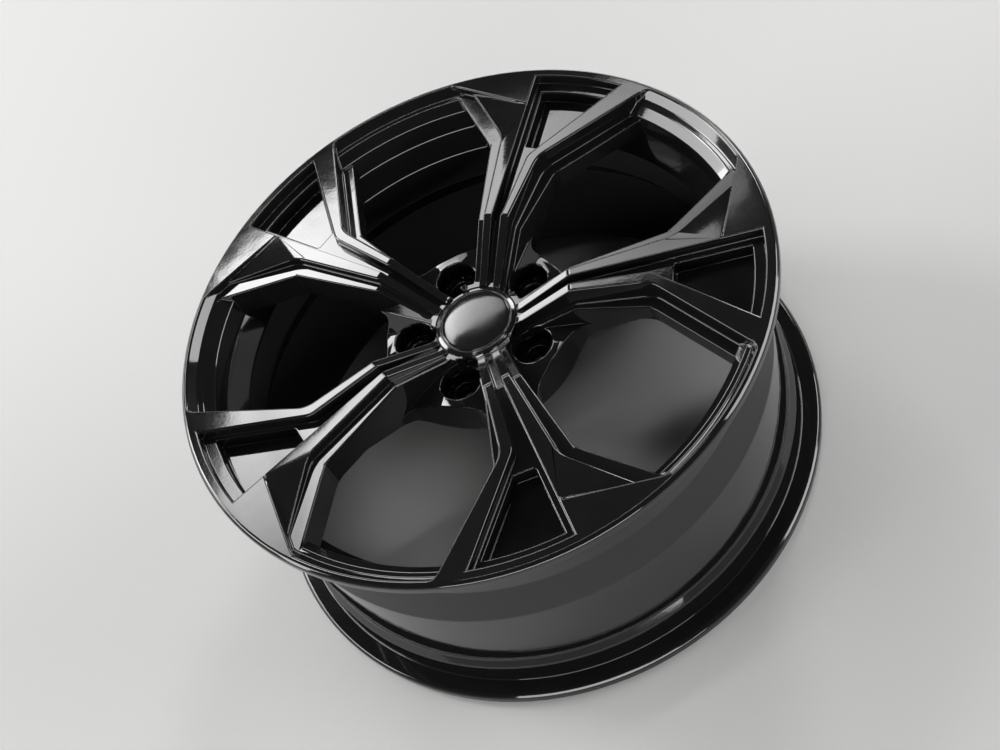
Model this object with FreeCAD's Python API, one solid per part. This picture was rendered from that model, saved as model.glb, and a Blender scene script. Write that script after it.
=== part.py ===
import FreeCAD
import Part

import math
import os

# Cast alloy road wheel with five asymmetric Y-shaped spokes, lying on its inboard flange.
# Millimetres. The axle is Z, the styled face looks up, and the origin is the middle of
# the plane that the inboard flange rests on. Depths are measured down from the face plane.

# Rim contour: diameter over the bead seats, width between the flanges, and the J flange.
rim_diameter = 512.8
rim_width = 215.9
flange_height = 17.3
flange_width = 13.0
flange_tip_chamfer = 3.0
rest_face_width = 8.0
bead_seat_length = 22.0
bead_seat_taper_deg = 5.0
hump_length = 7.0
well_depth = 20.0
well_length = 30.0
well_front_ramp = 17.0
well_back_ramp = 28.0
back_shelf_drop = 7.0
barrel_wall = 4.5

# Front lip, seen inside every window: a slope, a narrow ledge and a bevel into the barrel.
lip_top_width = 6.0
lip_slope_width = 7.0
lip_slope_depth = 8.0
lip_ledge_width = 4.8
lip_ledge_depth = 9.0
lip_bevel_depth = 17.0
window_wall = 9.5

# Hub: wheel offset, bolt circle, bore and the cap recess.
wheel_offset = 40.0
spoke_count = 5
bolt_circle_diameter = 120.0
bolt_hole_diameter = 15.0
bolt_seat_diameter = 25.0
bolt_seat_angle_deg = 60.0
bolt_seat_thickness = 15.0
bolt_pocket_radius = 18.5
hub_bore_diameter = 72.6
hub_bore_chamfer = 2.5
hub_pad_radius = 80.0
hub_face_depth = 36.0
hub_flat_distance = 86.5
collar_radius = 43.0
collar_depth = 28.5
cap_seat_depth = 34.0
cap_seat_radius = 38.2
cap_lip_radius = 32.5
cap_lip_length = 12.0
cap_groove_radius = 38.0
cap_groove_length = 6.0
pad_pocket_radius = 11.0
pad_pocket_depth = 20.0

# Face of the spokes: flat out to the rim, folded down to the hub at the crease.
crease_distance = 94.4
spoke_back_depth_rim = 38.0
spoke_back_depth_mid = 38.0
spoke_back_mid_radius = 150.0
spoke_back_depth_hub = 58.0
spoke_back_hub_radius = 98.0

# Steps of a spoke below its face, along the arms and at the hub.
left_terrace_drop = 8.5
left_terrace_hub_drop = 3.0
right_terrace_drop = 20.0
right_terrace_hub_drop = 12.0
valley_drop = 10.5
valley_hub_drop = 4.0
arm_pocket_drop = 23.5
left_facet_fall = 5.5

# Spoke in plan: X runs out along the straight wall of the valley, Y to the left of it.
# Each edge runs hub end, crease, knee, rim.
left_terrace_edge = [(30.0, 13.0), (93.0, 16.0), (183.5, 28.7), (246.3, 80.7)]
left_facet_edge = [(30.0, 7.0), (94.4, 8.2), (190.2, 16.4), (242.2, 58.8)]
valley_edge = [(30.0, -6.0), (94.4, -8.2), (165.0, -15.9), (256.5, -95.0)]
right_facet_edge = [(30.0, -13.0), (96.9, -17.2), (163.4, -27.4), (242.4, -115.5)]
right_terrace_edge = [(30.0, -18.0), (94.2, -22.2), (158.7, -38.3), (229.9, -117.7)]
knee_radius = 26.0
valley_knee_radius = 16.0
valley_outer_radius = 262.5

# Raised rim facet between the straight wall and the left arm, by its inner edge.
rim_facet_edge = [(227.8, 0.0), (255.1, 91.7)]
rim_facet_blend = 25.0
right_facet_blend = 9.0

# Triangular pocket sunk between the arms, inside a ledge along each wall of the valley.
arm_pocket_inner = 184.0
arm_pocket_skew = 8.0
arm_pocket_left_ledge = 6.5
arm_pocket_right_ledge = 3.5
arm_pocket_outer_wall = 5.4
arm_pocket_corner_radius = 3.0

# Windows between the spokes.
window_hub_radius = 24.0

# Lightening pockets in the back: one along each spoke, one in each arm.
back_pocket_width = 15.0
back_pocket_skin = 25.0
back_pocket_inner = 108.0
back_pocket_outer = 168.0
left_arm_pocket = [(194.0, 6.0), (230.0, 6.0), (228.0, 46.0)]
left_arm_pocket_skin = 18.0
left_arm_pocket_radius = 6.0
right_arm_pocket = [(182.0, -38.0), (216.0, -69.5)]
right_arm_pocket_width = 10.0
right_arm_pocket_skin = 16.0

# Valve hole through the front ramp of the rim.
valve_hole_diameter = 11.3
valve_seat_diameter = 20.0
valve_angle_deg = -97.4
valve_seat_wall = 4.0

# Centre cap with snap legs, and the flat ring that spreads them.
cap_clearance = 0.3
cap_rim_bevel = 5.5
cap_rim_height = 2.0
cap_bevel_height = 2.0
cap_dome_height = 1.0
cap_shoulder_width = 9.0
cap_leg_count = 6
cap_leg_angle_deg = 28.0
cap_leg_wall = 2.2
cap_hook_reach = 1.3
cap_hook_height = 3.5
cap_hollow_depth = 2.2
ring_wall = 1.2
ring_height = 2.0
ring_depth = 40.0

# Worked out from the sizes above.
overall_width = rim_width + 2 * flange_width
bead_radius = rim_diameter / 2
flange_radius = bead_radius + flange_height
mounting_depth = overall_width / 2 - wheel_offset
hub_bore_radius = hub_bore_diameter / 2
well_radius = bead_radius - well_depth
seat_end_radius = bead_radius - bead_seat_length * math.tan(math.radians(bead_seat_taper_deg))
hump_start_depth = flange_width + bead_seat_length
ramp_start_depth = hump_start_depth + hump_length
well_start_depth = ramp_start_depth + well_front_ramp
lip_radius = flange_radius - lip_top_width
ledge_radius = lip_radius - lip_slope_width
bevel_radius = ledge_radius - lip_ledge_width
window_radius = bead_radius - window_wall
spoke_pitch_deg = 360.0 / spoke_count
first_spoke_deg = 10.6
bolt_circle_radius = bolt_circle_diameter / 2
seat_depth = mounting_depth - bolt_seat_thickness

# Allowances that let a cutting shape run past what it cuts.
beyond = 60.0
overrun = 6.0

axle_point = FreeCAD.Vector(0, 0, 0)
axle_up = FreeCAD.Vector(0, 0, 1)


def at_depth(radius, depth):
    """Point of a half section, from its radius and its depth below the face plane."""
    return FreeCAD.Vector(radius, 0, overall_width - depth)


def rounded_wire(corners):
    """Closed flat outline through (point, radius) corners, each rounded by its own radius."""
    count = len(corners)
    rounds = []
    for i in range(count):
        here, radius = corners[i]
        to_before = (corners[i - 1][0] - here).normalize()
        to_after = (corners[(i + 1) % count][0] - here).normalize()
        half_angle = to_before.getAngle(to_after) / 2
        setback = radius / math.tan(half_angle)
        inward = to_before + to_after
        nearest = here
        if radius > 0:
            nearest = here + inward.normalize() * (radius / math.sin(half_angle) - radius)
        rounds.append((here + to_before * setback, nearest, here + to_after * setback, radius))
    edges = []
    for i in range(count):
        start, nearest, end, radius = rounds[i]
        if radius > 0:
            edges.append(Part.Arc(start, nearest, end).toShape())
        next_start = rounds[(i + 1) % count][0]
        if end.distanceToPoint(next_start) > 1e-6:
            edges.append(Part.makeLine(end, next_start))
    return Part.Wire(edges)


def revolve(section, angle_deg=360):
    """Solid turned about the axle from a half section of (radius, depth) points."""
    points = [at_depth(radius, depth) for radius, depth in section]
    return Part.Face(Part.makePolygon(points + points[:1])).revolve(axle_point, axle_up, angle_deg)


def prism(outline, top_depth, bottom_depth):
    """Upright solid on a plan outline of (x, y) or (x, y, round) points, between two depths."""
    height = overall_width - bottom_depth
    corners = [(FreeCAD.Vector(p[0], p[1], height), p[2] if len(p) > 2 else 0) for p in outline]
    return Part.Face(rounded_wire(corners)).extrude(axle_up * (bottom_depth - top_depth))


def disc_of(radius):
    """Cylinder about the axle, through the whole wheel."""
    return Part.makeCylinder(radius, overall_width + beyond)


def extended(edge):
    """An edge's points with its last leg run out past the rim."""
    (x0, y0), (x1, y1) = edge[-2:]
    grow = 1 + beyond / math.hypot(x1 - x0, y1 - y0)
    return edge[:-1] + [(x0 + (x1 - x0) * grow, y0 + (y1 - y0) * grow)]


def turned(point, angle_deg):
    """A plan point turned about the axle."""
    angle = math.radians(angle_deg)
    x, y = point
    return (x * math.cos(angle) - y * math.sin(angle), x * math.sin(angle) + y * math.cos(angle))


def line_crossing(p, q, a, b):
    """Point where the line through p and q meets the line through a and b."""
    px, py = q[0] - p[0], q[1] - p[1]
    ax, ay = b[0] - a[0], b[1] - a[1]
    share = ((a[0] - p[0]) * ay - (a[1] - p[1]) * ax) / (px * ay - py * ax)
    return (p[0] + px * share, p[1] + py * share)


def circle_crossing(p, q, radius):
    """Outer point where the line through p and q meets a circle about the axle."""
    run = math.hypot(q[0] - p[0], q[1] - p[1])
    dx, dy = (q[0] - p[0]) / run, (q[1] - p[1]) / run
    along = p[0] * dx + p[1] * dy
    aside = p[0] * dy - p[1] * dx
    reach = math.sqrt(radius ** 2 - aside ** 2) - along
    return (p[0] + dx * reach, p[1] + dy * reach)


def along_circle(point, length):
    """Plan point reached from a point by going square to its radius, left if length is positive."""
    radius = math.hypot(point[0], point[1])
    return (point[0] - point[1] / radius * length, point[1] + point[0] / radius * length)


def around(shape):
    """One copy of a shape for every spoke."""
    copies = []
    for i in range(spoke_count):
        copy = shape.copy()
        copy.rotate(axle_point, axle_up, first_spoke_deg + i * spoke_pitch_deg)
        copies.append(copy)
    return copies


def above_face(drop, hub_drop):
    """Space in front of one spoke's folded face, lowered by one drop outside and one at the hub."""
    far = flange_radius + beyond
    side = [
        at_depth(0, -beyond),
        at_depth(0, collar_depth + hub_drop),
        at_depth(collar_radius, collar_depth + hub_drop),
        at_depth(crease_distance, drop),
        at_depth(far, drop),
        at_depth(far, -beyond),
    ]
    slab = Part.Face(Part.makePolygon(side + side[:1])).extrude(FreeCAD.Vector(0, 2 * far, 0))
    slab.translate(FreeCAD.Vector(0, -far, 0))
    return slab


def wheel_blank():
    """The turned body before its windows: rim, disc and hub in one half section."""
    well_end = well_start_depth + well_length
    shelf_depth = well_end + well_back_ramp
    shelf_radius = bead_radius - back_shelf_drop
    back_hump = overall_width - hump_start_depth
    back_flange = overall_width - flange_width
    groove_depth = cap_seat_depth + cap_lip_length
    bore_depth = groove_depth + cap_groove_length
    hub = [
        (cap_seat_radius, collar_depth),
        (cap_seat_radius, cap_seat_depth),
        (cap_lip_radius, cap_seat_depth),
        (cap_lip_radius, groove_depth),
        (cap_groove_radius, groove_depth),
        (cap_groove_radius, bore_depth),
        (hub_bore_radius, bore_depth),
        (hub_bore_radius, mounting_depth - hub_bore_chamfer),
        (hub_bore_radius + hub_bore_chamfer, mounting_depth),
        (hub_pad_radius, mounting_depth),
    ]
    spoke_back = [
        (spoke_back_hub_radius, spoke_back_depth_hub),
        (spoke_back_mid_radius, spoke_back_depth_mid),
        (window_radius, spoke_back_depth_rim),
    ]
    barrel_inside = [
        (well_radius - barrel_wall, well_start_depth - barrel_wall / 2),
        (well_radius - barrel_wall, well_end + barrel_wall / 2),
        (shelf_radius - barrel_wall, shelf_depth),
        (shelf_radius - barrel_wall, back_flange - barrel_wall),
        (flange_radius - flange_tip_chamfer - rest_face_width, overall_width),
    ]
    inboard_flange = [
        (flange_radius - flange_tip_chamfer, overall_width),
        (flange_radius, overall_width - flange_tip_chamfer),
        (flange_radius, back_flange + flange_tip_chamfer),
        (flange_radius - flange_tip_chamfer, back_flange),
        (bead_radius, back_flange),
        (seat_end_radius, back_hump),
        (shelf_radius, back_hump - hump_length),
    ]
    well = [
        (shelf_radius, shelf_depth),
        (well_radius, well_end),
        (well_radius, well_start_depth),
    ]
    outboard_flange = [
        (seat_end_radius, ramp_start_depth),
        (seat_end_radius, hump_start_depth),
        (bead_radius, flange_width),
        (flange_radius - flange_tip_chamfer, flange_width),
        (flange_radius, flange_width - flange_tip_chamfer),
        (flange_radius, flange_tip_chamfer),
        (flange_radius - flange_tip_chamfer, 0),
    ]
    face = [(collar_radius, 0), (collar_radius, collar_depth)]
    return revolve(hub + spoke_back + barrel_inside + inboard_flange + well + outboard_flange + face)


def window_void():
    """Space in front of, inside and behind the spoke disc, bounded by the lip and the rim."""
    deep_radius = well_radius - barrel_wall - overrun
    deep = mounting_depth + overrun
    slope = lip_slope_depth / lip_slope_width
    return revolve([
        (0, -beyond),
        (lip_radius + overrun, -beyond),
        (lip_radius + overrun, -overrun * slope),
        (ledge_radius, lip_slope_depth),
        (bevel_radius, lip_ledge_depth),
        (window_radius, lip_bevel_depth),
        (window_radius, spoke_back_depth_rim),
        (deep_radius, well_start_depth - barrel_wall / 2),
        (deep_radius, deep),
        (0, deep),
    ])


def fold():
    """Space in front of a spoke's face, which folds down from the crease to the hub."""
    half_pitch = spoke_pitch_deg / 2
    corners = [(0, 0), turned((flange_radius, 0), -half_pitch), turned((flange_radius, 0), half_pitch)]
    return prism(corners, -beyond, mounting_depth).common(above_face(0, 0))


def window():
    """Opening between a spoke's left edge and its neighbour's right edge, with a flat at the hub."""
    near = extended(left_terrace_edge)
    far = [turned(p, spoke_pitch_deg) for p in extended(right_terrace_edge)]
    foot = turned((hub_flat_distance, 0), spoke_pitch_deg / 2)
    along = turned((hub_flat_distance, 1), spoke_pitch_deg / 2)
    near_hub = line_crossing(foot, along, near[1], near[2])
    far_hub = line_crossing(foot, along, far[1], far[2])
    outline = [near_hub + (window_hub_radius,), near[2] + (knee_radius,), near[3], far[3]]
    outline += [far[2] + (knee_radius,), far_hub + (window_hub_radius,)]
    return prism(outline, -beyond, mounting_depth + beyond).common(window_void())


def hub_land():
    """Space above the hub face, between two spokes and round the collar."""
    near = left_terrace_edge
    far = [turned(p, spoke_pitch_deg) for p in right_terrace_edge]
    outline = [near[0], near[1], near[2], far[2], far[1], far[0]]
    return prism(outline, -beyond, hub_face_depth).cut(disc_of(collar_radius))


def facet_tip():
    """Plan point where the left facet runs out against the raised rim facet."""
    return line_crossing(left_facet_edge[2], left_facet_edge[3], rim_facet_edge[0], rim_facet_edge[1])


def left_terrace():
    """Step along the left of a spoke, with a large blend where the raised rim facet meets the lip."""
    turn = circle_crossing(rim_facet_edge[0], rim_facet_edge[1], lip_radius)
    past = along_circle(turn, beyond)
    outer = [(x, y + overrun) for x, y in left_terrace_edge]
    inner = [turn + (rim_facet_blend,), facet_tip(), left_facet_edge[2] + (knee_radius,)]
    inner += [left_facet_edge[1], left_facet_edge[0]]
    step = prism(outer + [past] + inner, -beyond, mounting_depth)
    return step.common(above_face(left_terrace_drop, left_terrace_hub_drop)).common(window_void())


def right_terrace():
    """Narrow deep step along the right of a spoke, with a blend where its facet meets the lip."""
    turn = circle_crossing(right_facet_edge[2], right_facet_edge[3], lip_radius)
    past = along_circle(turn, -beyond)
    inner = [right_facet_edge[0], right_facet_edge[1], right_facet_edge[2] + (knee_radius,)]
    inner += [turn + (right_facet_blend,), past]
    outer = [(x, y - overrun) for x, y in right_terrace_edge]
    step = prism(inner + outer[::-1], -beyond, mounting_depth)
    return step.common(above_face(right_terrace_drop, right_terrace_hub_drop)).common(window_void())


def valley():
    """Channel between the straight wall and the right facet, open from the hub to the lip."""
    right = extended(valley_edge)
    outline = [(right[0][0], 0), (right[3][0], 0), right[3]]
    outline += [right[2] + (valley_knee_radius,), right[1], right[0]]
    channel = prism(outline, -beyond, mounting_depth)
    return channel.common(above_face(valley_drop, valley_hub_drop)).common(disc_of(valley_outer_radius))


def arm_pocket():
    """Triangular pocket in the floor of the valley, where the arms part."""
    (x0, y0), (x1, y1) = extended(valley_edge)[2:]
    run = math.hypot(x1 - x0, y1 - y0)
    aside = (arm_pocket_right_ledge * (y0 - y1) / run, arm_pocket_right_ledge * (x1 - x0) / run)
    start = (x0 + aside[0], y0 + aside[1])
    end = (x1 + aside[0], y1 + aside[1])
    inner_left = (arm_pocket_inner, -arm_pocket_left_ledge)
    inner_way = (arm_pocket_inner - arm_pocket_skew, -arm_pocket_left_ledge - beyond)
    inner_right = line_crossing(start, end, inner_left, inner_way)
    outline = [inner_left + (arm_pocket_corner_radius,), inner_right + (arm_pocket_corner_radius,)]
    outline += [end, (end[0], -arm_pocket_left_ledge)]
    return prism(outline, -beyond, arm_pocket_drop).common(disc_of(bead_radius - arm_pocket_outer_wall))


def left_facet_slope():
    """Wedge that tips the outer end of the left facet down, from its knee to its tip."""
    tip = facet_tip()
    knee = left_facet_edge[2]
    heel = rim_facet_edge[0]
    hinge = FreeCAD.Vector(heel[0] - knee[0], heel[1] - knee[1], 0)
    fall = FreeCAD.Vector(tip[0] - knee[0], tip[1] - knee[1], -left_facet_fall)
    corner = FreeCAD.Vector(knee[0], knee[1], overall_width) - hinge * 2
    far_corner = corner + hinge * 5
    sheet = Part.makePolygon([corner, far_corner, far_corner + fall * 3, corner + fall * 3, corner])
    slab = Part.Face(sheet).extrude(hinge.cross(fall).normalize() * beyond)
    past_knee = (knee[0] - hinge.x * overrun / hinge.Length, knee[1] - hinge.y * overrun / hinge.Length)
    outline = [past_knee, heel, tip, (tip[0] - overrun, tip[1] + overrun)]
    return prism(outline, -beyond, mounting_depth).common(slab)


def bolt_cut():
    """Pocket, cone seat and hole for one wheel bolt, midway between two spokes."""
    hole_radius = bolt_hole_diameter / 2
    seat_radius = bolt_seat_diameter / 2
    seat_top = seat_depth - (seat_radius - hole_radius) / math.tan(math.radians(bolt_seat_angle_deg / 2))
    cut = revolve([
        (0, collar_depth - overrun),
        (bolt_pocket_radius, collar_depth - overrun),
        (bolt_pocket_radius, seat_top),
        (seat_radius, seat_top),
        (hole_radius, seat_depth),
        (hole_radius, mounting_depth + overrun),
        (0, mounting_depth + overrun),
    ])
    middle = turned((bolt_circle_radius, 0), spoke_pitch_deg / 2)
    cut.translate(FreeCAD.Vector(middle[0], middle[1], 0))
    return cut


def pad_pocket():
    """Lightening pocket in the mounting face, behind a spoke and between two bolts."""
    foot = FreeCAD.Vector(bolt_circle_radius, 0, overall_width - mounting_depth)
    return Part.makeCylinder(pad_pocket_radius, pad_pocket_depth, foot)


def slot(start, end, width, skin, back):
    """Round-ended channel between a skin depth and a back depth below the face plane."""
    run = math.hypot(end[0] - start[0], end[1] - start[1])
    aside = ((start[1] - end[1]) / run * width / 2, (end[0] - start[0]) / run * width / 2)
    box = prism([
        (start[0] + aside[0], start[1] + aside[1]),
        (start[0] - aside[0], start[1] - aside[1]),
        (end[0] - aside[0], end[1] - aside[1]),
        (end[0] + aside[0], end[1] + aside[1]),
    ], skin, back)
    for x, y in (start, end):
        foot = FreeCAD.Vector(x, y, overall_width - back)
        box = box.fuse(Part.makeCylinder(width / 2, back - skin, foot))
    return box.removeSplitter()


def back_pockets():
    """The three lightening pockets behind one spoke."""
    middle = (left_terrace_edge[1][1] + right_terrace_edge[1][1]) / 2
    inner = (back_pocket_inner, middle)
    outer = (back_pocket_outer, middle)
    straight = slot(inner, outer, back_pocket_width, back_pocket_skin, mounting_depth)
    back = spoke_back_depth_rim + overrun
    left = prism([p + (left_arm_pocket_radius,) for p in left_arm_pocket], left_arm_pocket_skin, back)
    start, end = right_arm_pocket
    right = slot(start, end, right_arm_pocket_width, right_arm_pocket_skin, back)
    return [straight, left, right]


def valve_cut():
    """Valve hole square to the front ramp of the well, with a flat seat inside."""
    start = at_depth((seat_end_radius + well_radius) / 2, ramp_start_depth + well_front_ramp / 2)
    tilt = math.atan2(well_front_ramp, seat_end_radius - well_radius)
    inward = FreeCAD.Vector(-math.sin(tilt), 0, math.cos(tilt))
    reach = 3 * barrel_wall
    hole = Part.makeCylinder(valve_hole_diameter / 2, reach, start - inward * barrel_wall, inward)
    seat = Part.makeCylinder(valve_seat_diameter / 2, reach, start + inward * valve_seat_wall, inward)
    cut = hole.fuse(seat)
    cut.rotate(axle_point, axle_up, valve_angle_deg)
    return cut


def build_wheel():
    """The one-piece casting: blank less its windows, steps, pockets and holes."""
    cuts = [fold(), window(), hub_land(), left_terrace(), right_terrace(), valley(), arm_pocket()]
    cuts += [left_facet_slope(), bolt_cut(), pad_pocket()] + back_pockets()
    body = wheel_blank()
    for cut in cuts:
        body = body.cut(around(cut))
    return body.cut(valve_cut()).removeSplitter()


def build_cap():
    """Round cap with a bevelled edge, a low dome and a hollow back with hooked legs."""
    radius = cap_seat_radius - cap_clearance
    dome_radius = radius - cap_rim_bevel
    bevel_start = cap_seat_depth - cap_rim_height
    bevel_end = bevel_start - cap_bevel_height
    cap = revolve([
        (0, cap_seat_depth),
        (radius, cap_seat_depth),
        (radius, bevel_start),
        (dome_radius, bevel_end),
        (dome_radius - cap_shoulder_width, bevel_end - cap_dome_height),
        (0, bevel_end - cap_dome_height),
    ])
    leg_radius = cap_lip_radius - cap_clearance
    leg_inner = leg_radius - cap_leg_wall
    leg_start = cap_seat_depth - cap_hollow_depth / 2
    hook_start = cap_seat_depth + cap_lip_length + cap_clearance
    leg_end = hook_start + cap_hook_height
    leg_points = [
        (leg_inner, leg_start),
        (leg_radius, leg_start),
        (leg_radius, hook_start),
        (leg_radius + cap_hook_reach, hook_start),
        (leg_radius - cap_leg_wall / 2, leg_end),
        (leg_inner, leg_end),
    ]
    leg = revolve(leg_points, cap_leg_angle_deg)
    for i in range(cap_leg_count):
        copy = leg.copy()
        copy.rotate(axle_point, axle_up, i * 360.0 / cap_leg_count)
        cap = cap.fuse(copy)
    hollow = Part.makeCylinder(leg_inner, cap_hollow_depth, at_depth(0, cap_seat_depth))
    return cap.cut(hollow).removeSplitter()


def build_ring():
    """Flat spring ring inside the cap's legs."""
    outer = cap_lip_radius - 2 * cap_clearance - cap_leg_wall
    inner = outer - ring_wall
    return revolve([
        (inner, ring_depth),
        (outer, ring_depth),
        (outer, ring_depth + ring_height),
        (inner, ring_depth + ring_height),
    ])


os.makedirs("parts", exist_ok=True)
nodes = {"wheel": build_wheel(), "centre_cap": build_cap(), "cap_spring_ring": build_ring()}
for name, shape in nodes.items():
    shape.exportStep("parts/" + name + ".step")
    print(name, shape.isValid(), len(shape.Solids), "solid", round(shape.Volume / 1000, 1), "cm3")
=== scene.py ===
# %% [markdown]
# # A gloss black cast wheel
# The wheel lies on its inboard flange with the styled face up. Everything is in metres, in the
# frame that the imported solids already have, so nothing has to be fitted by eye. The lesson goes
# through the camera, the studio, the finishes and then each piece of the wheel.

# %% Load the frame
import math

import bmesh
import bpy
from mathutils import Matrix, Vector


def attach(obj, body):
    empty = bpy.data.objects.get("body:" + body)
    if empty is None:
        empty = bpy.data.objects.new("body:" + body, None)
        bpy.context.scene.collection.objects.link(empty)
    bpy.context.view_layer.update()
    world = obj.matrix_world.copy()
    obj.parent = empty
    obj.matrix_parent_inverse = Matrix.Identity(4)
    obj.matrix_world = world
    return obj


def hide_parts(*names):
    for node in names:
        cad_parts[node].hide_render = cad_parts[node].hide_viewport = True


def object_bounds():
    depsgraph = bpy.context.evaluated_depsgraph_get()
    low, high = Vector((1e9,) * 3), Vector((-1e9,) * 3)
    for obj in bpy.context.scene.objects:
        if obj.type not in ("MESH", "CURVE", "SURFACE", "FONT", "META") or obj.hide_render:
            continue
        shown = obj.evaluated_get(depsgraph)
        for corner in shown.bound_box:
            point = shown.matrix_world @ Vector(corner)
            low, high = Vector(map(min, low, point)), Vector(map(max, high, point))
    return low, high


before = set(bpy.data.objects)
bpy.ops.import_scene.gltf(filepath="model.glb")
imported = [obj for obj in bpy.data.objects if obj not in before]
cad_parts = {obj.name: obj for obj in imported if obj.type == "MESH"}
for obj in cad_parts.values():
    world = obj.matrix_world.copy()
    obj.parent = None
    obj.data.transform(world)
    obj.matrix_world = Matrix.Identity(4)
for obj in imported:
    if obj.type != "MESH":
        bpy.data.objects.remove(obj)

scene = bpy.context.scene
scene.view_settings.view_transform = "Standard"
cad_low, cad_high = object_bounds()
print("CAD box", [round(v, 4) for v in cad_low], [round(v, 4) for v in cad_high])

# %% [markdown]
# ## Camera
# The photograph looks down on the face from about fifty degrees, a little rolled. The three axes
# below were fitted to the round flange and to the five equal spokes, so a spoke in the picture
# falls where the solid spoke is. A focal length in pixels becomes a lens by the sensor's width.

# %% Camera
CAMERA_PLACE = Vector((0.4586, -0.7368, 1.2123))
CAMERA_RIGHT = Vector((0.9406, 0.1295, -0.3139))
CAMERA_UP = Vector((0.0647, 0.8392, 0.5400))
CAMERA_BACK = Vector((0.3333, -0.5282, 0.7810))
FOCAL_PIXELS = 1494.0
IMAGE_WIDTH = 1000.0

camera_data = bpy.data.cameras.new("wheel_camera")
camera_data.sensor_width = 36.0
camera_data.lens = FOCAL_PIXELS / IMAGE_WIDTH * camera_data.sensor_width
camera = bpy.data.objects.new("wheel_camera", camera_data)
turn = Matrix((CAMERA_RIGHT, CAMERA_UP, CAMERA_BACK)).transposed()
camera.matrix_world = Matrix.Translation(CAMERA_PLACE) @ turn.to_4x4()
scene.collection.objects.link(camera)
scene.camera = camera
print("lens", round(camera_data.lens, 2), "mm")

# %% [markdown]
# ## Key panel
# Black gloss has almost no colour of its own: what shows is the lamps, mirrored. A flat face
# mirrors one small part of the room, so the lamp is drawn as that part: a long bright sheet whose
# lower and upper edges are given as compass direction and height in degrees, seen from the wheel.
# Each corner has its own brightness, which runs smoothly over the sheet, as in a softbox lit from
# one end. The sheet ends just below what the nearest spoke mirrors, and that spoke stays dark. It
# stands far off, so that every spoke sees it in the same direction.

# %% Key panel
FACE_MIDDLE = Vector((0.0, 0.0, cad_high[2]))
PANEL_DISTANCE = 40.0
PANEL_LOW = [
    (103.0, 42.9, 3.2), (110.0, 42.9, 4.4), (117.0, 42.7, 6.8), (123.0, 42.0, 12.0),
    (128.0, 41.7, 15.5), (132.5, 42.0, 14.5), (136.5, 46.4, 12.5), (141.0, 48.8, 9.0),
]
PANEL_HIGH = [
    (104.0, 48.8, 1.7), (109.0, 50.2, 2.6), (116.0, 50.2, 4.6), (123.0, 50.0, 6.8),
    (129.0, 50.0, 11.0), (134.0, 50.8, 11.5), (138.5, 52.6, 5.0), (141.5, 52.4, 4.0),
]


def direction(azimuth, elevation):
    """Unit vector from the wheel to a place in the room, from degrees."""
    az, el = math.radians(azimuth), math.radians(elevation)
    return Vector((math.cos(el) * math.cos(az), math.cos(el) * math.sin(az), math.sin(el)))


def glow_panel(name, low_edge, high_edge, distance):
    """A staged sheet of light between two edges, with a brightness of its own at each corner."""
    corners = low_edge + high_edge
    count = len(low_edge)
    mesh = bpy.data.meshes.new(name)
    points = [FACE_MIDDLE + direction(az, el) * distance for az, el, glow in corners]
    mesh.from_pydata(points, [], [(i, i + 1, count + i + 1, count + i) for i in range(count - 1)])
    layer = mesh.color_attributes.new("glow", "FLOAT_COLOR", "POINT")
    for i, (az, el, glow) in enumerate(corners):
        layer.data[i].color = (glow, glow, glow, 1.0)
    sheet = bpy.data.materials.new(name)
    sheet.use_nodes = True
    nodes, links = sheet.node_tree.nodes, sheet.node_tree.links
    nodes.remove(nodes["Principled BSDF"])
    brightness = nodes.new("ShaderNodeAttribute")
    brightness.attribute_name = "glow"
    light = nodes.new("ShaderNodeEmission")
    links.new(brightness.outputs["Color"], light.inputs["Color"])
    links.new(light.outputs["Emission"], nodes["Material Output"].inputs["Surface"])
    mesh.materials.append(sheet)
    panel = bpy.data.objects.new(name, mesh)
    panel.visible_camera = False
    scene.collection.objects.link(panel)
    return panel


key_panel = glow_panel("key_panel", PANEL_LOW, PANEL_HIGH, PANEL_DISTANCE)
print("key panel", len(key_panel.data.polygons), "quads")

# %% [markdown]
# ## Soft boxes
# The floor needs light that doesn't fall through the windows of the wheel, so the boxes that give
# it stand low on both sides. They also draw the thin bright lines along the lip and the edges:
# a rounded edge turns through many directions, and one of them always mirrors a box. A strip above
# the wheel does the same for the edges that face the camera, and two small boxes higher up do it
# for the edges that face left and right.

# %% Soft boxes
def soft_box(name, azimuth, elevation, size, radiance, distance=4.0):
    """A rectangular lamp in one direction from the wheel, with its width and height in degrees."""
    lamp = bpy.data.lights.new(name, "AREA")
    lamp.shape = "RECTANGLE"
    lamp.size = 2 * distance * math.tan(math.radians(size[0] / 2))
    lamp.size_y = 2 * distance * math.tan(math.radians(size[1] / 2))
    lamp.energy = radiance * math.pi * lamp.size * lamp.size_y
    away = direction(azimuth, elevation)
    facing = away.to_track_quat("Z", "Y").to_matrix().to_4x4()
    box = bpy.data.objects.new(name, lamp)
    box.matrix_world = Matrix.Translation(FACE_MIDDLE + away * distance) @ facing
    box.visible_camera = False
    scene.collection.objects.link(box)
    return box


soft_box("left_box", 190.0, 20.0, (50.0, 22.0), 7.0, distance=9.0)
soft_box("right_box", 20.0, 20.0, (50.0, 22.0), 7.0, distance=9.0)
soft_box("near_box", 285.0, 17.0, (60.0, 16.0), 7.0, distance=9.0)
soft_box("top_strip", 122.0, 84.0, (34.0, 2.0), 16.0)
soft_box("left_edge_box", 163.0, 37.0, (12.0, 14.0), 18.0)
soft_box("right_edge_box", 83.0, 37.0, (10.0, 12.0), 18.0)

# %% [markdown]
# ## Back panel
# Near the hub each spoke's face slopes down to the cap. On two of the spokes that slope mirrors
# the room low down behind the wheel, so a second sheet stands there, lower and wider than the
# first. It also lights the far side of the cap's ring. A low light doesn't reach the floor inside
# the rim, which keeps the windows dark.

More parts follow.
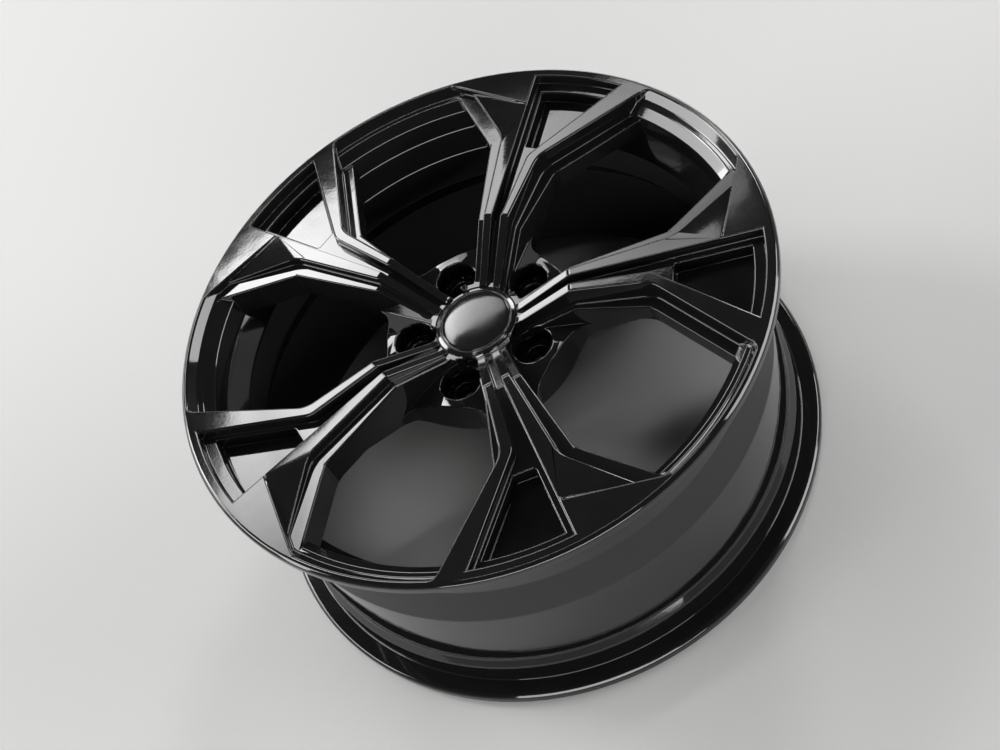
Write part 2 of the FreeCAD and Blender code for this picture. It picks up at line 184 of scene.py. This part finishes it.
# %% Back panel
BACK_LOW = [
    (74.0, 1.5, 4.0), (92.0, 1.5, 4.5), (108.0, 2.5, 5.0),
    (125.0, 7.0, 5.5), (148.0, 12.0, 8.5), (168.0, 12.0, 7.5),
]
BACK_HIGH = [
    (74.0, 11.5, 3.0), (92.0, 12.5, 4.0), (108.0, 14.0, 4.5),
    (125.0, 16.0, 5.0), (148.0, 20.5, 8.0), (168.0, 21.0, 6.5),
]
back_panel = glow_panel("back_panel", BACK_LOW, BACK_HIGH, PANEL_DISTANCE)
print("back panel", len(back_panel.data.polygons), "quads")

# %% [markdown]
# ## World
# The room is pale at the horizon and dim overhead, because a bright sky would turn every upward
# face of the black lacquer grey. The ramp reads the height of the direction that a ray leaves by.

# %% World
world = bpy.data.worlds.new("studio_world")
scene.world = world
world.use_nodes = True
world_nodes, world_links = world.node_tree.nodes, world.node_tree.links
world_place = world_nodes.new("ShaderNodeTexCoord")
world_split = world_nodes.new("ShaderNodeSeparateXYZ")
world_ramp = world_nodes.new("ShaderNodeValToRGB")
world_ramp.color_ramp.interpolation = "EASE"
world_ramp.color_ramp.elements[0].position = 0.0
world_ramp.color_ramp.elements[0].color = (0.34, 0.34, 0.335, 1.0)
world_ramp.color_ramp.elements[1].position = 0.45
world_ramp.color_ramp.elements[1].color = (0.02, 0.02, 0.02, 1.0)
world_links.new(world_place.outputs["Object"], world_split.inputs["Vector"])
world_links.new(world_split.outputs["Z"], world_ramp.inputs["Fac"])
world_links.new(world_ramp.outputs["Color"], world_nodes["Background"].inputs["Color"])
print("world ramp ends", [round(e.position, 2) for e in world_ramp.color_ramp.elements])

# %% [markdown]
# ## Floor
# The wheel rests on its flange, so the floor lies at height zero. A disc of several metres has its
# edge far outside the picture. It is matt, and pale enough to show the wheel's black outline.

# %% Floor
FLOOR_COLOUR = (0.58, 0.58, 0.575, 1.0)
FLOOR_RADIUS = 6.0
FLOOR_SIDES = 96
floor_mesh = bpy.data.meshes.new("studio_floor")
floor_edit = bmesh.new()
bmesh.ops.create_circle(floor_edit, cap_ends=True, radius=FLOOR_RADIUS, segments=FLOOR_SIDES)
floor_edit.to_mesh(floor_mesh)
floor_edit.free()
studio_floor = bpy.data.objects.new("studio_floor", floor_mesh)
scene.collection.objects.link(studio_floor)
floor_paint = bpy.data.materials.new("pale_floor")
floor_paint.use_nodes = True
floor_shader = floor_paint.node_tree.nodes["Principled BSDF"]
floor_shader.inputs["Base Color"].default_value = FLOOR_COLOUR
floor_shader.inputs["Roughness"].default_value = 0.9
floor_shader.inputs["Specular IOR Level"].default_value = 0.1
floor_mesh.materials.append(floor_paint)
print("floor radius", FLOOR_RADIUS, "m")

# %% [markdown]
# ## Effects shared by the finishes
# Sprayed lacquer and moulded plastic are never quite flat: they ripple like the skin of an orange,
# which is what makes the mirrored edge of a lamp look uneven. They are also rubbed a little duller
# in some places than others, and fine dust settles on what faces up. Each effect is one node
# group, made once and placed in every finish with its own values.

# %% Node groups
def new_group(name, inputs, outputs):
    """An empty shader node group with named sockets, and its two end nodes."""
    tree = bpy.data.node_groups.new(name, "ShaderNodeTree")
    for label, kind, value in inputs:
        socket = tree.interface.new_socket(name=label, in_out="INPUT", socket_type=kind)
        if value is not None:
            socket.default_value = value
    for label, kind in outputs:
        tree.interface.new_socket(name=label, in_out="OUTPUT", socket_type=kind)
    return tree, tree.nodes.new("NodeGroupInput"), tree.nodes.new("NodeGroupOutput")


def noise_of(tree, vector, scale, detail):
    """A noise texture in a tree, fed by a vector and a scale socket."""
    noise = tree.nodes.new("ShaderNodeTexNoise")
    noise.inputs["Detail"].default_value = detail
    tree.links.new(vector, noise.inputs["Vector"])
    tree.links.new(scale, noise.inputs["Scale"])
    return noise.outputs["Fac"]


def math_of(tree, operation, first, second):
    """A math node in a tree, whose two terms are sockets or numbers."""
    node = tree.nodes.new("ShaderNodeMath")
    node.operation = operation
    for term, socket in zip((first, second), node.inputs):
        if isinstance(term, (int, float)):
            socket.default_value = term
        else:
            tree.links.new(term, socket)
    return node.outputs["Value"]


print("helpers for groups", [f.__name__ for f in (new_group, noise_of, math_of)])

# %% [markdown]
# ## Ripple
# The skin's height is a fine noise on top of a slow one. Cells per metre sets the fine one, and
# the slow one is about six times as wide. Only the height leaves the group, for a Bump node to use.

# %% Ripple of a sprayed or moulded skin
FLOAT, VECTOR = "NodeSocketFloat", "NodeSocketVector"
ripple, ripple_in, ripple_out = new_group(
    "skin_ripple",
    [("Vector", VECTOR, None), ("Cells per metre", FLOAT, 420.0), ("Long wave", FLOAT, 0.5)],
    [("Height", FLOAT)],
)
cells = ripple_in.outputs["Cells per metre"]
fine = noise_of(ripple, ripple_in.outputs["Vector"], cells, 1.0)
slow = noise_of(ripple, ripple_in.outputs["Vector"], math_of(ripple, "MULTIPLY", cells, 0.17), 0.0)
wave = math_of(ripple, "MULTIPLY", slow, math_of(ripple, "MULTIPLY", ripple_in.outputs["Long wave"], 6.0))
ripple.links.new(math_of(ripple, "ADD", fine, wave), ripple_out.inputs["Height"])
print(ripple.name, len(ripple.nodes), "nodes")

# %% [markdown]
# ## Rubbed gloss
# Wiping leaves patches that are a little duller than the rest. A noise picks the patches, and a
# Map Range node turns it into a roughness between two given values.

# %% Places rubbed duller
rub, rub_in, rub_out = new_group(
    "rubbed_gloss",
    [
        ("Vector", VECTOR, None), ("Patches per metre", FLOAT, 14.0),
        ("Glossiest", FLOAT, 0.04), ("Dullest", FLOAT, 0.09),
    ],
    [("Roughness", FLOAT)],
)
patches = noise_of(rub, rub_in.outputs["Vector"], rub_in.outputs["Patches per metre"], 4.0)
spread = rub.nodes.new("ShaderNodeMapRange")
spread.inputs["From Min"].default_value = 0.35
spread.inputs["From Max"].default_value = 0.7
rub.links.new(patches, spread.inputs["Value"])
rub.links.new(rub_in.outputs["Glossiest"], spread.inputs["To Min"])
rub.links.new(rub_in.outputs["Dullest"], spread.inputs["To Max"])
rub.links.new(spread.outputs["Result"], rub_out.inputs["Roughness"])
print(rub.name, len(rub.nodes), "nodes")

# %% [markdown]
# ## Dust
# Dust lies where a surface faces up, in specks that gather in faint clouds. The upward part of the
# normal, a fine noise and a coarse one are multiplied into one mask.

# %% Dust on what faces up
dust, dust_in, dust_out = new_group(
    "settled_dust",
    [("Vector", VECTOR, None), ("Specks per metre", FLOAT, 1500.0), ("Amount", FLOAT, 0.03)],
    [("Mask", FLOAT)],
)
specks = noise_of(dust, dust_in.outputs["Vector"], dust_in.outputs["Specks per metre"], 2.0)
cloud_scale = math_of(dust, "MULTIPLY", dust_in.outputs["Specks per metre"], 0.02)
clouds = noise_of(dust, dust_in.outputs["Vector"], cloud_scale, 3.0)
facing = dust.nodes.new("ShaderNodeNewGeometry")
facing_split = dust.nodes.new("ShaderNodeSeparateXYZ")
dust.links.new(facing.outputs["Normal"], facing_split.inputs["Vector"])
upward = math_of(dust, "MAXIMUM", facing_split.outputs["Z"], 0.0)
grains = math_of(dust, "MULTIPLY", math_of(dust, "MULTIPLY", specks, clouds), upward)
dust.links.new(math_of(dust, "MULTIPLY", grains, dust_in.outputs["Amount"]), dust_out.inputs["Mask"])
print("groups", [g.name for g in bpy.data.node_groups])

# %% [markdown]
# ## Building a finish
# The three finishes share their build: Object coordinates feed the groups, and the groups feed one
# Principled shader. These helpers hold that build, so a finish is only its own colours and values.

# %% Building a finish
def new_finish(name):
    """A material with the shared effects on Object coordinates, and its shader."""
    finish = bpy.data.materials.new(name)
    finish.use_nodes = True
    tree = finish.node_tree
    place = tree.nodes.new("ShaderNodeTexCoord").outputs["Object"]
    return finish, tree, place, tree.nodes["Principled BSDF"]


def placed(tree, group, place, values):
    """One of the shared effects in a material's tree, with this finish's own values."""
    node = tree.nodes.new("ShaderNodeGroup")
    node.node_tree = group
    tree.links.new(place, node.inputs["Vector"])
    for label, value in values.items():
        node.inputs[label].default_value = value
    return node.outputs[0]


def mixed(tree, share, first, second):
    """A colour between two colours, by a mask."""
    mix = tree.nodes.new("ShaderNodeMix")
    mix.data_type = "RGBA"
    tree.links.new(share, mix.inputs["Factor"])
    for term, socket in ((first, mix.inputs["A"]), (second, mix.inputs["B"])):
        if isinstance(term, tuple):
            socket.default_value = term
        else:
            tree.links.new(term, socket)
    return mix.outputs["Result"]


def rippled(tree, shader, height, depth):
    """Bump of a given depth in metres on a shader's normal."""
    bump = tree.nodes.new("ShaderNodeBump")
    bump.inputs["Distance"].default_value = depth
    tree.links.new(height, bump.inputs["Height"])
    tree.links.new(bump.outputs["Normal"], shader.inputs["Normal"])


print("helpers for finishes", [f.__name__ for f in (new_finish, placed, mixed, rippled)])

# %% [markdown]
# ## Lacquer
# The casting is lacquered deep black under a clear coat. Only the pad that bolts to the hub and
# the bore that centres on it are turned bright after painting, so a mask made from the distance to
# the axle and the height picks them out. Rings of a wave texture stand for the tool's marks.

# %% Gloss black lacquer with a turned pad and bore
DUST_COLOUR = (0.30, 0.285, 0.26, 1.0)
PAD_HEIGHT = 0.16095
PAD_RADIUS = 0.0802
PAD_MARGIN = 0.0002
TURNED_DULLER = 0.28
LACQUER_RIPPLE = 0.000008
BORE_RADIUS = 0.0366
BORE_TOP = 0.1899
lacquer, tree, place, shader = new_finish("gloss_black_paint")
split = tree.nodes.new("ShaderNodeSeparateXYZ")
tree.links.new(place, split.inputs["Vector"])
across = math_of(tree, "POWER", split.outputs["X"], 2.0)
along = math_of(tree, "POWER", split.outputs["Y"], 2.0)
from_axle = math_of(tree, "SQRT", math_of(tree, "ADD", across, along), 0.0)
below_pad = math_of(tree, "LESS_THAN", split.outputs["Z"], PAD_HEIGHT + PAD_MARGIN)
above_pad = math_of(tree, "GREATER_THAN", split.outputs["Z"], PAD_HEIGHT - PAD_MARGIN)
at_pad = math_of(tree, "MULTIPLY", below_pad, above_pad)
on_pad = math_of(tree, "MULTIPLY", at_pad, math_of(tree, "LESS_THAN", from_axle, PAD_RADIUS))
below_cap = math_of(tree, "LESS_THAN", split.outputs["Z"], BORE_TOP)
in_bore = math_of(tree, "MULTIPLY", math_of(tree, "LESS_THAN", from_axle, BORE_RADIUS), below_cap)
turned = math_of(tree, "MAXIMUM", on_pad, in_bore)
tool_marks = tree.nodes.new("ShaderNodeTexWave")
tool_marks.wave_type = "RINGS"
tool_marks.rings_direction = "Z"
tool_marks.inputs["Scale"].default_value = 600.0
tree.links.new(place, tool_marks.inputs["Vector"])
bright_metal = mixed(tree, tool_marks.outputs["Fac"], (0.50, 0.50, 0.51, 1.0), (0.62, 0.62, 0.63, 1.0))
grains = placed(tree, dust, place, {"Specks per metre": 1400.0, "Amount": 0.03})
dusty = mixed(tree, grains, (0.0055, 0.0055, 0.006, 1.0), DUST_COLOUR)
tree.links.new(mixed(tree, turned, dusty, bright_metal), shader.inputs["Base Color"])
tree.links.new(turned, shader.inputs["Metallic"])
gloss = placed(tree, rub, place, {"Patches per metre": 14.0, "Glossiest": 0.035, "Dullest": 0.075})
turned_gloss = math_of(tree, "MULTIPLY", turned, TURNED_DULLER)
tree.links.new(math_of(tree, "ADD", gloss, turned_gloss), shader.inputs["Roughness"])
skin = placed(tree, ripple, place, {"Cells per metre": 420.0, "Long wave": 0.5})
rippled(tree, shader, skin, LACQUER_RIPPLE)
shader.inputs["Coat Weight"].default_value = 0.25
shader.inputs["Coat Roughness"].default_value = 0.03
print(lacquer.name, len(tree.nodes), "nodes")

# %% [markdown]
# ## Plastic
# The cap is moulded in black plastic. It has the same effects at other values: it is a little
# duller than lacquer, so the lamp it mirrors has a soft edge, and its ripple is longer.

# %% Gloss black plastic
PLASTIC_RIPPLE = 0.000006
plastic, tree, place, shader = new_finish("gloss_black_plastic")
grains = placed(tree, dust, place, {"Specks per metre": 1700.0, "Amount": 0.03})
tree.links.new(mixed(tree, grains, (0.007, 0.007, 0.0075, 1.0), DUST_COLOUR), shader.inputs["Base Color"])
gloss = placed(tree, rub, place, {"Patches per metre": 40.0, "Glossiest": 0.07, "Dullest": 0.11})
tree.links.new(gloss, shader.inputs["Roughness"])
skin = placed(tree, ripple, place, {"Cells per metre": 260.0, "Long wave": 0.2})
rippled(tree, shader, skin, PLASTIC_RIPPLE)
print(plastic.name, len(tree.nodes), "nodes")

# %% [markdown]
# ## Spring steel
# The ring that spreads the cap's legs is bare steel, so it is metallic and needs no coat.

# %% Bright spring steel
STEEL_RIPPLE = 0.000004
steel, tree, place, shader = new_finish("spring_steel")
grains = placed(tree, dust, place, {"Specks per metre": 2600.0, "Amount": 0.05})
tree.links.new(mixed(tree, grains, (0.48, 0.47, 0.46, 1.0), DUST_COLOUR), shader.inputs["Base Color"])
gloss = placed(tree, rub, place, {"Patches per metre": 90.0, "Glossiest": 0.22, "Dullest": 0.4})
tree.links.new(gloss, shader.inputs["Roughness"])
skin = placed(tree, ripple, place, {"Cells per metre": 1800.0, "Long wave": 0.0})
rippled(tree, shader, skin, STEEL_RIPPLE)
shader.inputs["Metallic"].default_value = 1.0
print("finishes", [m.name for m in (lacquer, plastic, steel)])

# %% [markdown]
# ## How round each edge is
# A casting has no sharp edge, and on black gloss the radius of an edge is what draws its bright
# outline. The top edges of the spokes get the full radius. Walls are close together at the lip,
# at the collar round the cap and at the pointed corners of the hub, so the radius falls off
# there. It falls off slowly: two edges in line with very different radii would make a spike. A
# ledge a millimetre wide in the knee of each window stays sharp, being narrower than any radius.

# %% Share of the radius along the wheel
SMALL_SHARE = 0.62
COLLAR_SHARE = 0.18
COLLAR_ZONE = 0.0445
COLLAR_BLEND = 0.020
HUB_LAND_DEPTH = 0.036
LAND_OUTER = 0.105
TIP_FROM = 0.083
TIP_BLEND = 0.014
FULL_UNTIL = 0.222
SMALL_FROM = 0.260
LEVEL = 1e-4
SAME_DEPTH = 5e-5


def clamped(value):
    """A number kept between nought and one."""
    return min(1.0, max(0.0, value))


def is_at_depth(vert, depth, tolerance):
    """True for a point at a given depth below the face."""
    return abs(vert.co.z - cad_high[2] + depth) < tolerance


def rounding_share(edge):
    """Share of the full radius that an edge of the wheel gets."""
    radius = sum(vert.co.xy.length for vert in edge.verts) / 2
    if radius > LAND_OUTER and all(is_at_depth(v, HUB_LAND_DEPTH, SAME_DEPTH) for v in edge.verts):
        return 0.0
    if any(vert.co.z < cad_high[2] - LEVEL for vert in edge.verts):
        from_collar = clamped((radius - COLLAR_ZONE) / COLLAR_BLEND)
        low = all(vert.co.z < cad_high[2] - HUB_LAND_DEPTH + LEVEL for vert in edge.verts)
        at_tip = low and radius < LAND_OUTER
        to_tip = clamped((radius - TIP_FROM) / TIP_BLEND) if at_tip else 0.0
        return COLLAR_SHARE + (SMALL_SHARE - COLLAR_SHARE) * min(from_collar, 1.0 - to_tip)
    near_lip = clamped((radius - FULL_UNTIL) / (SMALL_FROM - FULL_UNTIL))
    return 1.0 + (SMALL_SHARE - 1.0) * near_lip


print("shares of the radius", 1.0, SMALL_SHARE, COLLAR_SHARE)

# %% [markdown]
# ## Rounding a solid
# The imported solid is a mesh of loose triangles, so a copy is merged, its flat faces are joined up,
# and the edges between them are weighted for a Bevel modifier. The flat faces are kept apart at
# narrow sectors about the axle, so that none of them runs round a hole. A round wall split into
# strips isn't a crease: its strips have the same slope. Points that the bevel lifts above the face
# are levelled with it. Weighted normals keep the flat faces flat, and the bend in the bevels.

# %% Rounded copies of the solids
CREASE_ANGLE = math.radians(7.0)
FOLD_ANGLE = math.radians(15.0)
FACET_ANGLE = math.radians(20.0)
FLAT_ANGLE = math.radians(0.3)
SAME_SLOPE = 0.004
MERGE_DISTANCE = 2e-5
SHORTEST_EDGE = 1e-5
SECTOR_COUNT = 30
FIRST_SECTOR = math.radians(10.6)
BEVEL_STEPS = 4
BEVEL_FULLNESS = 0.6


def sector_of(point):
    """Number of the narrow sector about the axle that a point lies in."""
    turn = math.atan2(point.y, point.x) - FIRST_SECTOR
    return math.floor(turn * SECTOR_COUNT / (2 * math.pi)) % SECTOR_COUNT


def cleaned(edit):
    """Merges points that coincide and takes out edges with no length."""
    bmesh.ops.remove_doubles(edit, verts=edit.verts, dist=MERGE_DISTANCE)
    bmesh.ops.dissolve_degenerate(edit, edges=edit.edges, dist=SHORTEST_EDGE)


def is_crease(edge):
    """True where two faces meet at a real edge, not where a round wall is split into flat strips."""
    if len(edge.link_faces) != 2:
        return False
    angle = edge.calc_face_angle(0.0)
    if angle < CREASE_ANGLE:
        return False
    slopes = [face.normal.z for face in edge.link_faces]
    return angle > FACET_ANGLE or abs(slopes[0] - slopes[1]) > SAME_SLOPE


def rounded_copy(node, name, radius, shaping=None):
    """A merged copy of a solid's mesh with flat faces joined up and its edges rounded."""
    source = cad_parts[node]
    edit = bmesh.new()
    edit.from_mesh(source.data)
    edit.transform(source.matrix_world)
    cleaned(edit)
    edit.normal_update()
    if shaping:
        shaping(edit)
        edit.normal_update()
    for edge in edit.edges:
        sectors = {sector_of(face.calc_center_median()) for face in edge.link_faces}
        edge.seam = len(sectors) > 1
    flat = {"verts": edit.verts, "edges": edit.edges, "delimit": {"SEAM"}}
    bmesh.ops.dissolve_limit(edit, angle_limit=FLAT_ANGLE, **flat)
    edit.normal_update()
    weight = edit.edges.layers.float.new("bevel_weight_edge")
    creases = [edge for edge in edit.edges if is_crease(edge)]
    for edge in creases:
        share = rounding_share(edge)
        edge.smooth = share > 0 and edge.calc_face_angle(0.0) >= FOLD_ANGLE
        edge[weight] = share if edge.smooth else 0.0
    open_edges = sum(1 for edge in edit.edges if len(edge.link_faces) != 2)
    mesh = bpy.data.meshes.new(name)
    edit.to_mesh(mesh)
    edit.free()
    mesh.shade_smooth()
    piece = bpy.data.objects.new(name, mesh)
    scene.collection.objects.link(piece)
    bevel = piece.modifiers.new("edge_radius", "BEVEL")
    bevel.width = radius
    bevel.segments = BEVEL_STEPS
    bevel.profile = BEVEL_FULLNESS
    bevel.limit_method = "WEIGHT"
    bevel.use_clamp_overlap = False
    bevel.face_strength_mode = "FSTR_ALL"
    bevelled = piece.evaluated_get(bpy.context.evaluated_depsgraph_get())
    rounded = bpy.data.meshes.new_from_object(bevelled)
    piece.modifiers.clear()
    piece.data = rounded
    rounded.name = name
    proud = [vert for vert in rounded.vertices if vert.co.z > cad_high[2]]
    for vert in proud:
        vert.co.z = cad_high[2]
    shading = piece.modifiers.new("flat_faces_stay_flat", "WEIGHTED_NORMAL")
    shading.use_face_influence = True
    shading.keep_sharp = True
    shading.weight = 100
    print(name, len(rounded.polygons), "faces,", len(creases), "creases,", len(proud), "points levelled")
    print(name, open_edges, "open edges")
    return piece


# %% [markdown]
# ## Easing the hub
# On the casting, the lands between the spokes and the top of the collar aren't quite level. Each
# land is cut along two lines, either side of its bolt, and falls away beyond them. The collar's
# inner edge is tipped down to the cap. Both are small changes to a few points of the merged copy.

# %% Easing the hub
SAME_LAND = 0.81
LAND_HALF_WIDTH = 0.010
LAND_FALL = 0.20
COLLAR_DEPTH = 0.0285
COLLAR_INNER = 0.0382
COLLAR_FALL = 0.0020
BOLT_ANGLE = math.radians(46.6)
SPOKE_COUNT = 5
PITCH = 2 * math.pi / SPOKE_COUNT


def is_land(face):
    """True for a level face of the hub, between the spokes."""
    middle = face.calc_center_median()
    level = face.normal.z > 0.99 and abs(middle.z - cad_high[2] + HUB_LAND_DEPTH) < LEVEL
    return level and middle.xy.length < LAND_OUTER


def points_to(place, out):
    """True for a place in the same fifth of the hub as a direction."""
    return place.xy.normalized().dot(out.xy) > SAME_LAND


def is_collar_edge(vert):
    """True for a point on the collar's inner edge."""
    on_circle = abs(vert.co.xy.length - COLLAR_INNER) < LEVEL
    return on_circle and is_at_depth(vert, COLLAR_DEPTH, SAME_DEPTH)


def eased_hub(edit):
    """Lets the hub lands fall away to the spokes, and the top of the collar fall to the cap."""
    lands = [face for face in edit.faces if is_land(face)]
    for i in range(SPOKE_COUNT):
        angle = BOLT_ANGLE + i * PITCH
        out = Vector((math.cos(angle), math.sin(angle), 0.0))
        aside = Vector((-out.y, out.x, 0.0))
        for side in (-1, 1):
            near = [f for f in lands if f.is_valid and points_to(f.calc_center_median(), out)]
            parts = near + list({e for f in near for e in f.edges})
            parts += list({v for f in near for v in f.verts})
            line = aside * side * LAND_HALF_WIDTH
            cut = bmesh.ops.bisect_plane(edit, geom=parts, dist=1e-6, plane_co=line, plane_no=aside)
            pieces = {g for g in cut["geom"] if isinstance(g, bmesh.types.BMFace)}
            lands = list({f for f in lands if f.is_valid} | pieces)
        for vert in {v for f in lands for v in f.verts if points_to(v.co, out)}:
            vert.co.z -= max(0.0, abs(vert.co.dot(aside)) - LAND_HALF_WIDTH) * LAND_FALL
    collar = [vert for vert in edit.verts if is_collar_edge(vert)]
    for vert in collar:
        vert.co.z -= COLLAR_FALL
    cleaned(edit)
    print("hub lands", len(lands), "faces, collar", len(collar), "points")


print("hub lands to ease", SPOKE_COUNT)

# %% [markdown]
# ## The wheel
# Rim, spokes and hub are cast as one piece, so they are one object in one finish. It takes the
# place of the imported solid, and it rides on the root because the wheel has no moving part.

# %% The wheel
EDGE_RADIUS = 0.0023
cast_wheel = rounded_copy("wheel", "cast_wheel", EDGE_RADIUS, eased_hub)
cast_wheel.data.materials.append(lacquer)
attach(cast_wheel, "root")
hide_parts("wheel")

# %% [markdown]
# ## The centre cap
# The cap is a turned shape: a sloping ring, a fine groove and a low dome that is left bare. A
# few points of its half section are joined by a smooth curve and spun about the axle. A curve
# through the points, rather than straight runs, lets the lamps slide over the dome without bands.

# %% The turned face of the cap
CAP_SECTION = [
    (30.0, 31.8), (30.0, 34.0), (37.5, 34.0), (37.9, 33.6), (37.9, 32.7), (37.55, 32.1), (36.9, 31.7),
    (35.5, 31.19), (34.3, 30.76), (33.6, 30.55), (33.15, 30.6), (32.85, 30.95), (32.5, 31.2),
    (32.1, 30.95),
    (31.75, 30.5), (31.1, 30.2), (29.5, 29.93), (26.0, 29.62), (20.0, 29.3), (12.0, 29.1), (5.0, 29.02),
    (0.3, 29.0),
]
SPIN_STEPS = 128
CURVE_STEPS = 5


def section_point(radius, depth):
    """A half section point in metres, from millimetres of radius and of depth below the face."""
    return Vector((radius / 1000, cad_high[2] - depth / 1000))


def smooth_curve(points, steps):
    """Points along a curve that passes through all the given points."""
    curve = []
    for i in range(len(points) - 1):
        before, start = points[max(i - 1, 0)], points[i]
        end, after = points[i + 1], points[min(i + 2, len(points) - 1)]
        slope = end - before
        bend = 2 * before - 5 * start + 4 * end - after
        twist = 3 * start - before - 3 * end + after
        for step in range(steps):
            t = step / steps
            curve.append(0.5 * (2 * start + slope * t + bend * t ** 2 + twist * t ** 3))
    return curve + [points[-1]]


def spun(edit, section, steps):
    """Faces of a half section spun about the axle, closed at both ends by a flat disc."""
    rings = []
    for radius, height in section:
        angles = [2 * math.pi * i / steps for i in range(steps)]
        rings.append([edit.verts.new((radius * math.cos(a), radius * math.sin(a), height)) for a in angles])
    for low, high in zip(rings, rings[1:]):
        for i in range(steps):
            edit.faces.new((low[i], low[(i + 1) % steps], high[(i + 1) % steps], high[i]))
    edit.faces.new(rings[0][::-1])
    edit.faces.new(rings[-1])


corners = [section_point(r, d) for r, d in CAP_SECTION]
cap_edit = bmesh.new()
spun(cap_edit, corners[:2] + smooth_curve(corners[2:], CURVE_STEPS), SPIN_STEPS)
bmesh.ops.recalc_face_normals(cap_edit, faces=cap_edit.faces)
print("cap face", len(cap_edit.faces), "faces")

# %% [markdown]
# ## Snap legs
# Six hooked legs hold the cap in the bore. One leg is a short arc of a hooked section, so its
# section is set round the axle in small steps and the steps are joined by faces.

# %% One leg
LEG_SECTION = [
    (30.0, 31.9), (32.2, 31.9), (32.2, 46.3), (33.5, 46.3), (33.3, 46.9), (31.1, 49.8), (30.0, 49.8),
]
LEG_ANGLE = math.radians(28.0)
LEG_STEPS = 10
leg_edit = bmesh.new()
leg_rings = []
for i in range(LEG_STEPS + 1):
    a = LEG_ANGLE * i / LEG_STEPS
    outline = [section_point(r, d) for r, d in LEG_SECTION]
    leg_rings.append([leg_edit.verts.new((r * math.cos(a), r * math.sin(a), z)) for r, z in outline])
for one, other in zip(leg_rings, leg_rings[1:]):
    for i in range(len(one)):
        leg_edit.faces.new((one[i], one[(i + 1) % len(one)], other[(i + 1) % len(one)], other[i]))
leg_edit.faces.new(leg_rings[0][::-1])
leg_edit.faces.new(leg_rings[-1])
bmesh.ops.recalc_face_normals(leg_edit, faces=leg_edit.faces)
leg_mesh = bpy.data.meshes.new("snap_leg")
leg_edit.to_mesh(leg_mesh)
leg_edit.free()
print("leg", len(leg_mesh.polygons), "faces")

# %% [markdown]
# ## Copies of the leg
# A small Geometry Nodes tree sets the copies round the axle, so their count can be changed in one
# place: every point of a line with no length gets a leg, turned by its share of the circle. The
# tree is then turned into a plain mesh.

# %% Six legs by Geometry Nodes
LEG_COUNT = 6
legs_tree = bpy.data.node_groups.new("legs_round_the_axle", "GeometryNodeTree")
legs_tree.interface.new_socket(name="Leg", in_out="INPUT", socket_type="NodeSocketGeometry")
count_socket = legs_tree.interface.new_socket(name="Count", in_out="INPUT", socket_type="NodeSocketInt")
finish_socket = legs_tree.interface.new_socket(
    name="Finish", in_out="INPUT", socket_type="NodeSocketMaterial",
)
legs_tree.interface.new_socket(name="Legs", in_out="OUTPUT", socket_type="NodeSocketGeometry")
add, join = legs_tree.nodes.new, legs_tree.links.new
start, end = add("NodeGroupInput"), add("NodeGroupOutput")
points = add("GeometryNodeMeshLine")
points.inputs["Offset"].default_value = (0.0, 0.0, 0.0)
index, share, angle = add("GeometryNodeInputIndex"), add("ShaderNodeMath"), add("ShaderNodeMath")
share.operation, angle.operation = "DIVIDE", "MULTIPLY"
angle.inputs[1].default_value = 2 * math.pi
spin, copies = add("ShaderNodeCombineXYZ"), add("GeometryNodeInstanceOnPoints")
real, dress = add("GeometryNodeRealizeInstances"), add("GeometryNodeSetMaterial")
join(start.outputs["Count"], points.inputs["Count"])
join(index.outputs["Index"], share.inputs[0])
join(start.outputs["Count"], share.inputs[1])
join(share.outputs["Value"], angle.inputs[0])
join(angle.outputs["Value"], spin.inputs["Z"])
join(points.outputs["Mesh"], copies.inputs["Points"])
join(start.outputs["Leg"], copies.inputs["Instance"])
join(spin.outputs["Vector"], copies.inputs["Rotation"])
join(copies.outputs["Instances"], real.inputs["Geometry"])
join(real.outputs["Geometry"], dress.inputs["Geometry"])
join(start.outputs["Finish"], dress.inputs["Material"])
join(dress.outputs["Geometry"], end.inputs["Legs"])

leg_object = bpy.data.objects.new("snap_legs", leg_mesh)
scene.collection.objects.link(leg_object)
legs = leg_object.modifiers.new("legs", "NODES")
legs.node_group = legs_tree
legs[count_socket.identifier] = LEG_COUNT
legs[finish_socket.identifier] = plastic
settled_legs = leg_object.evaluated_get(bpy.context.evaluated_depsgraph_get())
legs_mesh = bpy.data.meshes.new_from_object(settled_legs)
leg_object.modifiers.clear()
bpy.data.objects.remove(leg_object)
print("legs", len(legs_mesh.polygons), "faces")

# %% [markdown]
# ## The finished cap
# The face and the legs are joined, because the cap is one moulding. Shading is smooth, except at
# the edges of the legs and the flat back, which turn too sharply for it.

# %% The finished cap
CAP_SHARP_ANGLE = math.radians(35.0)
cap_edit.from_mesh(legs_mesh)
cap_mesh = bpy.data.meshes.new("bare_cap")
cap_edit.to_mesh(cap_mesh)
cap_edit.free()
cap_mesh.shade_smooth()
cap_mesh.set_sharp_from_angle(angle=CAP_SHARP_ANGLE)
cap_mesh.materials.append(plastic)
bare_cap = bpy.data.objects.new("bare_cap", cap_mesh)
scene.collection.objects.link(bare_cap)
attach(bare_cap, "root")
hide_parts("centre_cap")
print("cap", len(cap_mesh.polygons), "faces")

# %% [markdown]
# ## The spring ring
# The flat ring inside the legs keeps them spread. It is out of sight from the front, but shows in
# the bore from behind, so it gets rounded edges and a bright steel finish as well. It lies inside
# the collar, so its edges get the collar's small share of the radius given here.

# %% Spring ring
RING_EDGE = 0.00025
spring_ring = rounded_copy("cap_spring_ring", "spring_ring", RING_EDGE)
spring_ring.data.materials.append(steel)
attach(spring_ring, "root")
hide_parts("cap_spring_ring")
